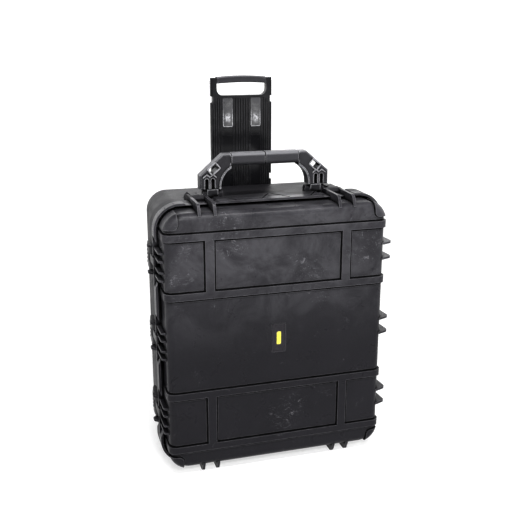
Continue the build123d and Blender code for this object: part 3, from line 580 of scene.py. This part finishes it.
def egg_crate(name, box, material):
    """Convoluted foam that fills box, with its peaks towards +Y."""
    low, high = box
    hx, hz = (high[0] - low[0]) / 2, (high[2] - low[2]) / 2
    mid_x, mid_z = (high[0] + low[0]) / 2, (high[2] + low[2]) / 2
    nx, nz = round(2 * hx / EGG_STEP), round(2 * hz / EGG_STEP)
    verts, faces = [], []
    for j in range(nz + 1):
        for i in range(nx + 1):
            x, z = corner_point(-hx + 2 * hx * i / nx, -hz + 2 * hz * j / nz, hx, hz, EGG_CORNER)
            waves = math.cos(2 * math.pi * x / EGG_PITCH) + math.cos(2 * math.pi * z / EGG_PITCH)
            edge = min(i, nx - i, j, nz - j)
            sink = EGG_SINK[edge] if edge < len(EGG_SINK) else 0.0
            verts.append((mid_x + x, high[1] - EGG_DEEP * (1 - (0.5 + 0.25 * waves)) - sink, mid_z + z))
    for j in range(nz):
        for i in range(nx):
            a = j * (nx + 1) + i
            faces.append((a, a + nx + 1, a + nx + 2, a + 1))
    rim = list(range(nx + 1))
    rim += [j * (nx + 1) + nx for j in range(1, nz + 1)]
    rim += [nz * (nx + 1) + i for i in range(nx - 1, -1, -1)]
    rim += [j * (nx + 1) for j in range(nz - 1, 0, -1)]
    start, count = len(verts), len(rim)
    verts += [(verts[k][0], low[1], verts[k][2]) for k in rim]
    for k in range(count):
        after = (k + 1) % count
        faces.append((rim[k], rim[after], start + after, start + k))
    faces.append(tuple(start + k for k in range(count)))
    mesh = new_mesh(name, verts, faces)
    mesh.validate()
    for poly in mesh.polygons:
        poly.use_smooth = len(poly.vertices) == 4
    return new_object(name, mesh, material)


def arc(x, z, r, turn, sign_x=1, sign_z=1):
    """Quarter circle about the corner centre that lies r inside x and z on the given sides."""
    points = []
    for k in range(ARC_STEPS + 1):
        angle = math.radians(turn + 90 * k / ARC_STEPS)
        points.append((x - sign_x * r + r * math.cos(angle), z - sign_z * r + r * math.sin(angle)))
    return points


def rounded_rectangle(x, z, hx, hz, r):
    points = []
    for sx, sz, turn in ((1, 1, 0), (-1, 1, 90), (-1, -1, 180), (1, -1, 270)):
        points += arc(x + sx * hx, z + sz * hz, r, turn, sx, sz)
    return points


def notched_outline(x, z, hx, hz, r):
    """Rounded at the top corners, with both bottom corners cut away over the wheel boxes."""
    right = [(x + NOTCH_X, z - hz), (x + NOTCH_X, NOTCH_TOP), (x + hx, NOTCH_TOP)]
    right += arc(x + hx, z + hz, r, 0)
    return right + [(2 * x - px, pz) for px, pz in reversed(right)]


def add_loop(curve, points):
    spline = curve.splines.new("POLY")
    spline.points.add(len(points) - 1)
    for point, (x, z) in zip(spline.points, points):
        point.co = (x, z, 0.0, 1.0)
    spline.use_cyclic_u = True


def foam_slab(name, loops, y0, y1, material, soft):
    """Slab of foam between depths y0 and y1: the first loop is its outline, the others go through it."""
    curve = bpy.data.curves.new(name + "_outline", "CURVE")
    curve.dimensions = "2D"
    curve.fill_mode = "BOTH"
    for loop in loops:
        add_loop(curve, loop)
    curve.extrude = (y1 - y0) / 2 - soft
    curve.bevel_depth = soft
    curve.bevel_resolution = 2
    curve.offset = -soft
    shape = bpy.data.objects.new(name + "_shape", curve)
    bpy.context.collection.objects.link(shape)
    bpy.context.view_layer.update()
    mesh = bpy.data.meshes.new_from_object(shape.evaluated_get(bpy.context.evaluated_depsgraph_get()))
    bpy.data.objects.remove(shape)
    bpy.data.curves.remove(curve)
    mesh.name = name
    mesh.transform(Matrix.Rotation(math.radians(90), 4, "X"))
    mesh.transform(Matrix.Translation((0, (y0 + y1) / 2, 0)))
    return new_object(name, mesh, material)


# ---------------------------------------------------------------- foam and pads

def stand_for(piece, body, node):
    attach(piece, body)
    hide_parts(node)


def make_foam():
    stand_for(egg_crate("lid_egg_foam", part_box("lid_foam"), FOAM_PLAIN), "lid", "lid_foam")
    (x0, y0, z0), (x1, y1, z1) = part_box("base_foam")
    loops = [rounded_rectangle(0.0, (z0 + z1) / 2, (x1 - x0) / 2, (z1 - z0) / 2, FOAM_CORNER)]
    loops += [rounded_rectangle(*pocket) for pocket in POCKETS]
    stand_for(foam_slab("pocket_foam", loops, y0, y1, FOAM_CUT, POCKET_ARRIS), "base", "base_foam")
    for node in ("foam_bed", "base_pad"):
        (x0, y0, z0), (x1, y1, z1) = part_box(node)
        loops = [notched_outline(0.0, (z0 + z1) / 2, (x1 - x0) / 2, (z1 - z0) / 2, FOAM_CORNER)]
        stand_for(foam_slab(node + "_foam", loops, y0, y1, FOAM_PLAIN, BED_ARRIS), "base", node)


def make_trolley_pads():
    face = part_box("trolley_slab")[0][1]
    for side, sign in (("left", -1), ("right", 1)):
        pad = pillow("trolley_pad_" + side, sign * PAD_X, PAD_Z, face - PAD_GAP)
        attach(pad, "trolley")


# ---------------------------------------------------------------- stage

def make_floor():
    half = FLOOR_HALF
    mesh = new_mesh("floor", [(-half, -half, 0), (half, -half, 0), (half, half, 0), (-half, half, 0)],
                    [(0, 1, 2, 3)])
    mat, tree, bsdf, at = new_material("floor_paint")
    tint = patches(tree, at, 2.0, 2.0, (0.3, 0.7))
    tree.links.new(mix_colour(tree, tint, FLOOR_DARK, FLOOR_LIGHT), bsdf.inputs["Base Color"])
    bsdf.inputs["Roughness"].default_value = 0.9
    bsdf.inputs["Specular IOR Level"].default_value = 0.1
    bsdf.inputs["Emission Color"].default_value = (*WHITE, 1.0)
    apart = tree.nodes.new("ShaderNodeVectorMath")
    apart.operation = "LENGTH"
    tree.links.new(at, apart.inputs[0])
    glow = ramp(tree, apart.outputs["Value"], FLOOR_GLOW_FROM, FLOOR_GLOW_FULL,
                FLOOR_GLOW_NEAR, FLOOR_GLOW_FAR)
    tree.links.new(glow, bsdf.inputs["Emission Strength"])
    new_object("floor", mesh, mat)


def make_backdrop():
    """White walls far behind the case and to both sides of it."""
    half = WALL_HALF
    plan = ((-half, -half), (-half, half), (half, half), (half, -half))
    corners = [(x, y, z) for z in (0, WALL_HEIGHT) for x, y in plan]
    mesh = new_mesh("backdrop", corners, [(k, k + 1, k + 5, k + 4) for k in range(3)])
    mat, tree, bsdf, at = new_material("backdrop_paint")
    bsdf.inputs["Base Color"].default_value = (*WALL_WHITE, 1.0)
    bsdf.inputs["Emission Color"].default_value = (*WHITE, 1.0)
    tree.links.new(patches(tree, at, 0.5, 2.0, (0.3, 0.7), (0.96, 1.0)), bsdf.inputs["Emission Strength"])
    bsdf.inputs["Roughness"].default_value = 1.0
    new_object("backdrop", mesh, mat)


def area_light(name, at, target, size, watts):
    data = bpy.data.lights.new(name, "AREA")
    data.shape = "RECTANGLE"
    data.size, data.size_y = size
    data.energy = watts
    light = bpy.data.objects.new(name, data)
    bpy.context.collection.objects.link(light)
    light.location = at
    direction = [t - a for t, a in zip(target, at)]
    light.rotation_euler = Vector(direction).to_track_quat("-Z", "Y").to_euler()


def make_stage():
    make_floor()
    make_backdrop()
    for light in LIGHTS:
        area_light(*light)
    world = bpy.data.worlds.new("studio")
    world.use_nodes = True
    background = world.node_tree.nodes["Background"]
    background.inputs["Color"].default_value = (*WHITE, 1.0)
    background.inputs["Strength"].default_value = WORLD_STRENGTH
    bpy.context.scene.world = world
    settings = bpy.context.scene.view_settings
    settings.view_transform = "Standard"
    settings.gamma = VIEW_GAMMA
    settings.exposure = VIEW_EXPOSURE


def make_camera():
    data = bpy.data.cameras.new("camera")
    data.lens = CAMERA_LENS_MM
    data.sensor_width = SENSOR_WIDTH_MM
    camera = bpy.data.objects.new("camera", data)
    bpy.context.collection.objects.link(camera)
    camera.location = CAMERA_AT
    camera.rotation_euler = (math.radians(90.0 - CAMERA_PITCH), 0.0, math.radians(-CAMERA_YAW))
    bpy.context.scene.camera = camera


finish_nodes()
make_foam()
make_trolley_pads()
make_stage()
make_camera()
